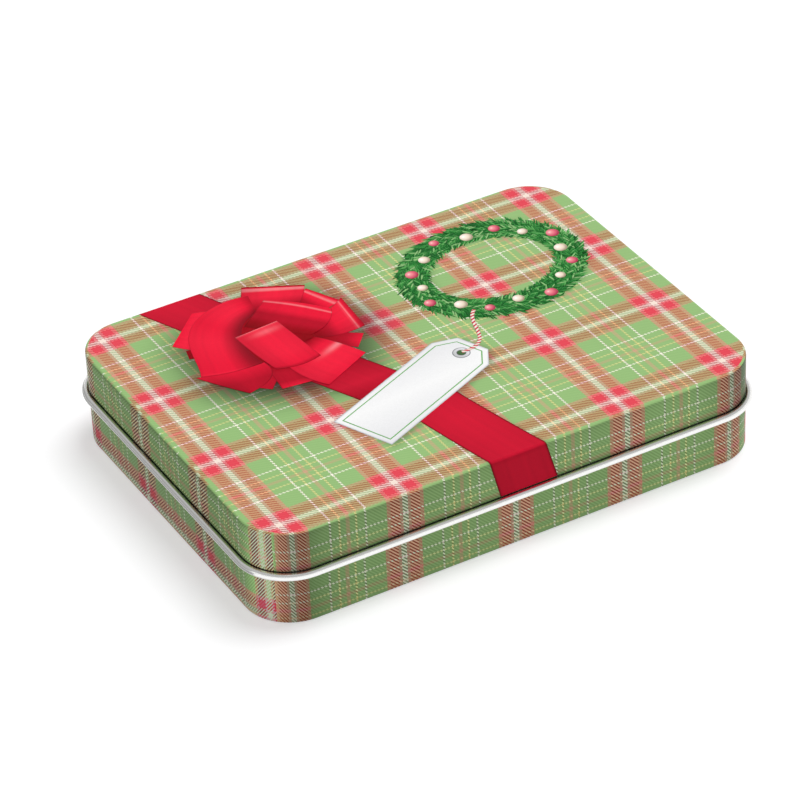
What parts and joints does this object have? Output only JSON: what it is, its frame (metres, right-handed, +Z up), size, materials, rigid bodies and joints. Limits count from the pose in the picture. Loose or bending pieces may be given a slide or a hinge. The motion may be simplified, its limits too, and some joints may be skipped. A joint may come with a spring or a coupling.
{
  "type": "gift tin",
  "caption": "Flat rectangular gift tin with rounded corners: a printed tray with a rolled bare rim, and a lift-off lid whose plug fits inside the mouth.",
  "frame": {"origin": "on the table, under the middle of the tin", "axes": "+Z up; +X along the long side, to the right as seen from the front; -Y is the front"},
  "size_m": [0.1558, 0.1168, 0.0285],
  "materials": {
    "printed_tinplate": "plaid lithographed on tinplate under a satin varnish",
    "bare_tinplate": "unprinted bright tinplate, finely rolled"
  },
  "bodies": {
    "tray": {"tray": "printed_tinplate"},
    "lid": {"lid": "printed_tinplate"}
  },
  "joints": [
    {"name": "lid_lift", "type": "slide", "parent": "tray", "child": "lid", "axis": [0, 0, 1], "range_m": [0, 0.06]}
  ]
}
